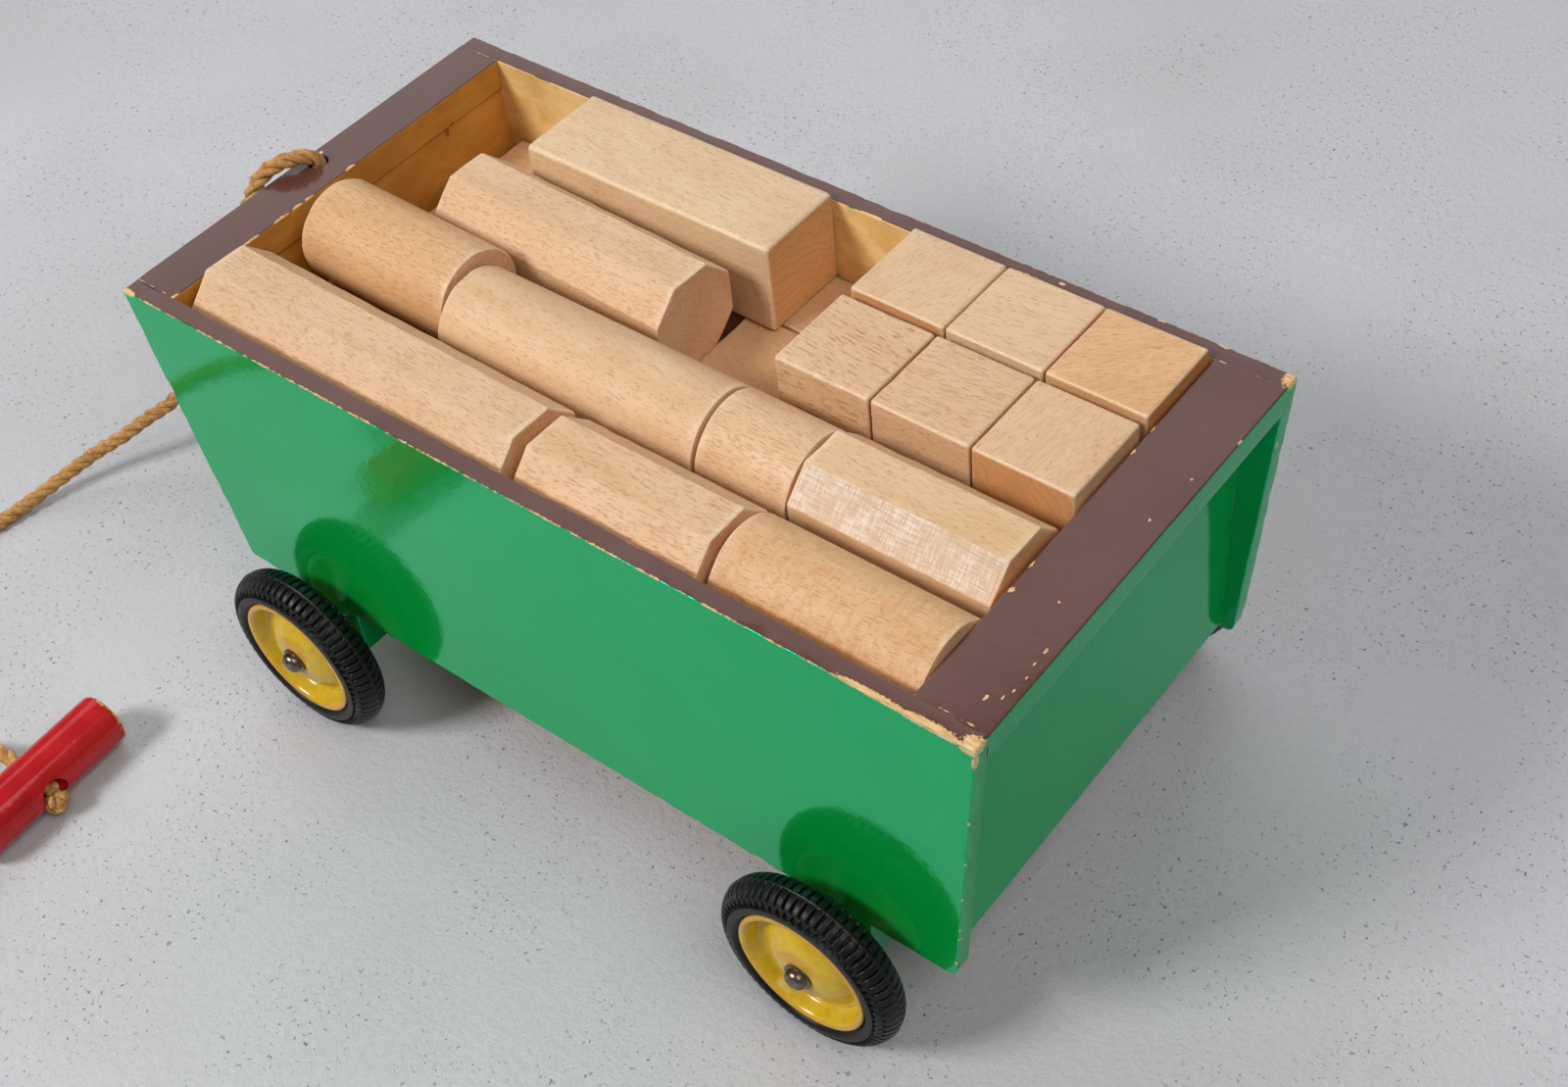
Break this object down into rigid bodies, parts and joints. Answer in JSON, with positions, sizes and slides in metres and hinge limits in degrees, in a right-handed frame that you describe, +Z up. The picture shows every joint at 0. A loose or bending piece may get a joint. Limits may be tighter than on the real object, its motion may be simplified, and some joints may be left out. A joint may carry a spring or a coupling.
{
  "type": "wagon with pull handle",
  "caption": "Toy wagon: splayed-end wooden tray on rubber-tyred wheels, loaded with wooden building blocks, with a pull rope through its rim to a turned handle.",
  "frame": {"origin": "on the ground, under the middle of the tray (halfway along it and midway between its side panels)", "axes": "+X forwards, towards the end the rope leaves; +Y to the wagon's left; +Z up"},
  "size_m": [0.5464, 0.3896, 0.1992],
  "materials": {
    "green_paint": "glossy green enamel over plywood, chipped along the edges",
    "brown_paint": "worn brown enamel over plywood",
    "bare_plywood": "bare, darkened by age",
    "axle_steel": "plain drawn rod, dull",
    "fixing_steel": "plain steel pins and screws",
    "tyre": "black rubber, dull",
    "yellow_paint": "glossy yellow enamel on pressed steel",
    "cap_steel": "polished pressed steel, browned",
    "jute": "twisted natural fibre rope",
    "red_paint": "glossy red paint on turned wood, chipped at the end",
    "beech": "bare sanded beech"
  },
  "bodies": {
    "cart": {"side_panel_left": "green_paint", "side_panel_right": "green_paint", "front_end_board": "green_paint", "rear_end_board": "green_paint", "front_cap_board": "brown_paint", "rear_cap_board": "brown_paint", "floor_board": "bare_plywood", "front_axle_block": "green_paint", "rear_axle_block": "green_paint", "front_axle": "axle_steel", "rear_axle": "axle_steel", "axle_washers": "axle_steel", "panel_pins": "fixing_steel", "block_screws": "fixing_steel", "axle_cap_front_left": "cap_steel", "axle_cap_front_right": "cap_steel", "axle_cap_rear_left": "cap_steel", "axle_cap_rear_right": "cap_steel", "pull_rope": "jute", "rope_stop_knot": "jute", "rope_end_knot": "jute", "pull_handle": "red_paint", "middle_blocks_row_1": "beech", "middle_blocks_row_2": "beech", "middle_blocks_row_3": "beech", "middle_blocks_row_4": "beech", "bottom_blocks": "beech"},
    "wheel_front_left": {"tyre_front_left": "tyre", "outer_disc_front_left": "yellow_paint", "inner_disc_front_left": "yellow_paint", "hub_sleeve_front_left": "cap_steel"},
    "wheel_front_right": {"tyre_front_right": "tyre", "outer_disc_front_right": "yellow_paint", "inner_disc_front_right": "yellow_paint", "hub_sleeve_front_right": "cap_steel"},
    "wheel_rear_left": {"tyre_rear_left": "tyre", "outer_disc_rear_left": "yellow_paint", "inner_disc_rear_left": "yellow_paint", "hub_sleeve_rear_left": "cap_steel"},
    "wheel_rear_right": {"tyre_rear_right": "tyre", "outer_disc_rear_right": "yellow_paint", "inner_disc_rear_right": "yellow_paint", "hub_sleeve_rear_right": "cap_steel"},
    "prism_block_long_body": {"prism_block_long": "beech"},
    "prism_block_front_body": {"prism_block_front": "beech"},
    "prism_block_rear_body": {"prism_block_rear": "beech"},
    "prism_block_middle_body": {"prism_block_middle": "beech"},
    "roller_block_front_body": {"roller_block_front": "beech"},
    "roller_block_long_body": {"roller_block_long": "beech"},
    "roller_block_short_body": {"roller_block_short": "beech"},
    "roller_block_rear_body": {"roller_block_rear": "beech"},
    "beam_block_body": {"beam_block": "beech"},
    "cube_block_1_body": {"cube_block_1": "beech"},
    "cube_block_2_body": {"cube_block_2": "beech"},
    "cube_block_3_body": {"cube_block_3": "beech"},
    "cube_block_4_body": {"cube_block_4": "beech"},
    "cube_block_5_body": {"cube_block_5": "beech"},
    "cube_block_6_body": {"cube_block_6": "beech"}
  },
  "joints": [
    {"name": "wheel_front_left_spin", "type": "hinge", "parent": "cart", "child": "wheel_front_left", "pos_m": [0.127, 0.1172, 0.04], "axis": [0, 1, 0], "continuous": true},
    {"name": "wheel_front_right_spin", "type": "hinge", "parent": "cart", "child": "wheel_front_right", "pos_m": [0.127, -0.1172, 0.04], "axis": [0, 1, 0], "continuous": true},
    {"name": "wheel_rear_left_spin", "type": "hinge", "parent": "cart", "child": "wheel_rear_left", "pos_m": [-0.138, 0.1172, 0.04], "axis": [0, 1, 0], "continuous": true},
    {"name": "wheel_rear_right_spin", "type": "hinge", "parent": "cart", "child": "wheel_rear_right", "pos_m": [-0.138, -0.1172, 0.04], "axis": [0, 1, 0], "continuous": true},
    {"name": "prism_block_long_lift", "type": "slide", "parent": "cart", "child": "prism_block_long_body", "axis": [0, 0, 1], "range_m": [0, 0.15]},
    {"name": "prism_block_front_lift", "type": "slide", "parent": "cart", "child": "prism_block_front_body", "axis": [0, 0, 1], "range_m": [0, 0.15]},
    {"name": "prism_block_rear_lift", "type": "slide", "parent": "cart", "child": "prism_block_rear_body", "axis": [0, 0, 1], "range_m": [0, 0.15]},
    {"name": "prism_block_middle_lift", "type": "slide", "parent": "cart", "child": "prism_block_middle_body", "axis": [0, 0, 1], "range_m": [0, 0.15]},
    {"name": "roller_block_front_lift", "type": "slide", "parent": "cart", "child": "roller_block_front_body", "axis": [0, 0, 1], "range_m": [0, 0.15]},
    {"name": "roller_block_long_lift", "type": "slide", "parent": "cart", "child": "roller_block_long_body", "axis": [0, 0, 1], "range_m": [0, 0.15]},
    {"name": "roller_block_short_lift", "type": "slide", "parent": "cart", "child": "roller_block_short_body", "axis": [0, 0, 1], "range_m": [0, 0.15]},
    {"name": "roller_block_rear_lift", "type": "slide", "parent": "cart", "child": "roller_block_rear_body", "axis": [0, 0, 1], "range_m": [0, 0.15]},
    {"name": "beam_block_lift", "type": "slide", "parent": "cart", "child": "beam_block_body", "axis": [0, 0, 1], "range_m": [0, 0.15]},
    {"name": "cube_block_1_lift", "type": "slide", "parent": "cart", "child": "cube_block_1_body", "axis": [0, 0, 1], "range_m": [0, 0.15]},
    {"name": "cube_block_2_lift", "type": "slide", "parent": "cart", "child": "cube_block_2_body", "axis": [0, 0, 1], "range_m": [0, 0.15]},
    {"name": "cube_block_3_lift", "type": "slide", "parent": "cart", "child": "cube_block_3_body", "axis": [0, 0, 1], "range_m": [0, 0.15]},
    {"name": "cube_block_4_lift", "type": "slide", "parent": "cart", "child": "cube_block_4_body", "axis": [0, 0, 1], "range_m": [0, 0.15]},
    {"name": "cube_block_5_lift", "type": "slide", "parent": "cart", "child": "cube_block_5_body", "axis": [0, 0, 1], "range_m": [0, 0.15]},
    {"name": "cube_block_6_lift", "type": "slide", "parent": "cart", "child": "cube_block_6_body", "axis": [0, 0, 1], "range_m": [0, 0.15]}
  ]
}
